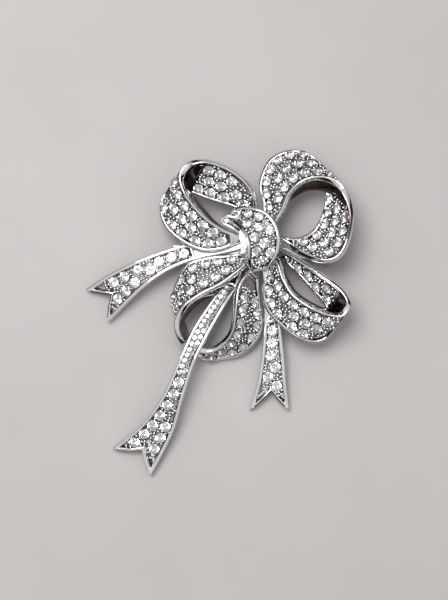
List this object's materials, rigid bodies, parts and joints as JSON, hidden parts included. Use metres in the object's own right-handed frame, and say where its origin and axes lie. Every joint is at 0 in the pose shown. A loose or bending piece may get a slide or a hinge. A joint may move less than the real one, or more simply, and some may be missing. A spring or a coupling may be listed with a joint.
{
  "type": "ribbon bow brooch with bar pin",
  "caption": "Ribbon bow brooch with stone-set loops and tails, a wrapped knot, and a hinged bar pin with a turning safety catch on its back.",
  "frame": {"origin": "centre of the brooch's box in plan, at the level of its lowest points, where it lies on its back", "axes": "+X to the wearer's left as the front is seen (right in a front view), +Y up the brooch, +Z out of its front"},
  "size_m": [0.0444, 0.054, 0.0122],
  "materials": {
    "ribbon_metal": "polished rhodium plate on cast white metal",
    "finding_metal": "plated, satin from tumbling",
    "pin_steel": "drawn and polished steel wire",
    "lock_metal": "polished plated brass",
    "stones": "clear foil-backed round brilliants"
  },
  "bodies": {
    "bow": {"knot_band": "ribbon_metal", "knot_fold": "ribbon_metal", "loop_upper_left": "ribbon_metal", "loop_upper_right": "ribbon_metal", "loop_lower_right": "ribbon_metal", "loop_lower_left": "ribbon_metal", "tail_left": "ribbon_metal", "tail_long": "ribbon_metal", "tail_short": "ribbon_metal", "core": "finding_metal", "pin_bar": "finding_metal", "hinge_rivet": "pin_steel", "catch_ring": "finding_metal", "stones_knot": "stones", "stones_fold": "stones", "stones_upper_left_front": "stones", "stones_upper_left_return": "stones", "stones_upper_right_front": "stones", "stones_upper_right_return": "stones", "stones_lower_right_front": "stones", "stones_lower_right_return": "stones", "stones_lower_left_top": "stones", "stones_lower_left_bottom": "stones", "stones_tail_left": "stones", "stones_tail_long": "stones", "stones_tail_short": "stones"},
    "pin": {"pin_stem": "pin_steel"},
    "lock": {"catch_lock": "lock_metal"}
  },
  "joints": [
    {"name": "pin_hinge", "type": "hinge", "parent": "bow", "child": "pin", "pos_m": [-0.00658, 0.0098, 0.00156], "axis": [0, 1, 0], "range_deg": [0, 110]},
    {"name": "lock_turn", "type": "hinge", "parent": "bow", "child": "lock", "pos_m": [0.01742, 0.0098, 0.00156], "axis": [1, 0, 0], "range_deg": [0, 100]}
  ]
}
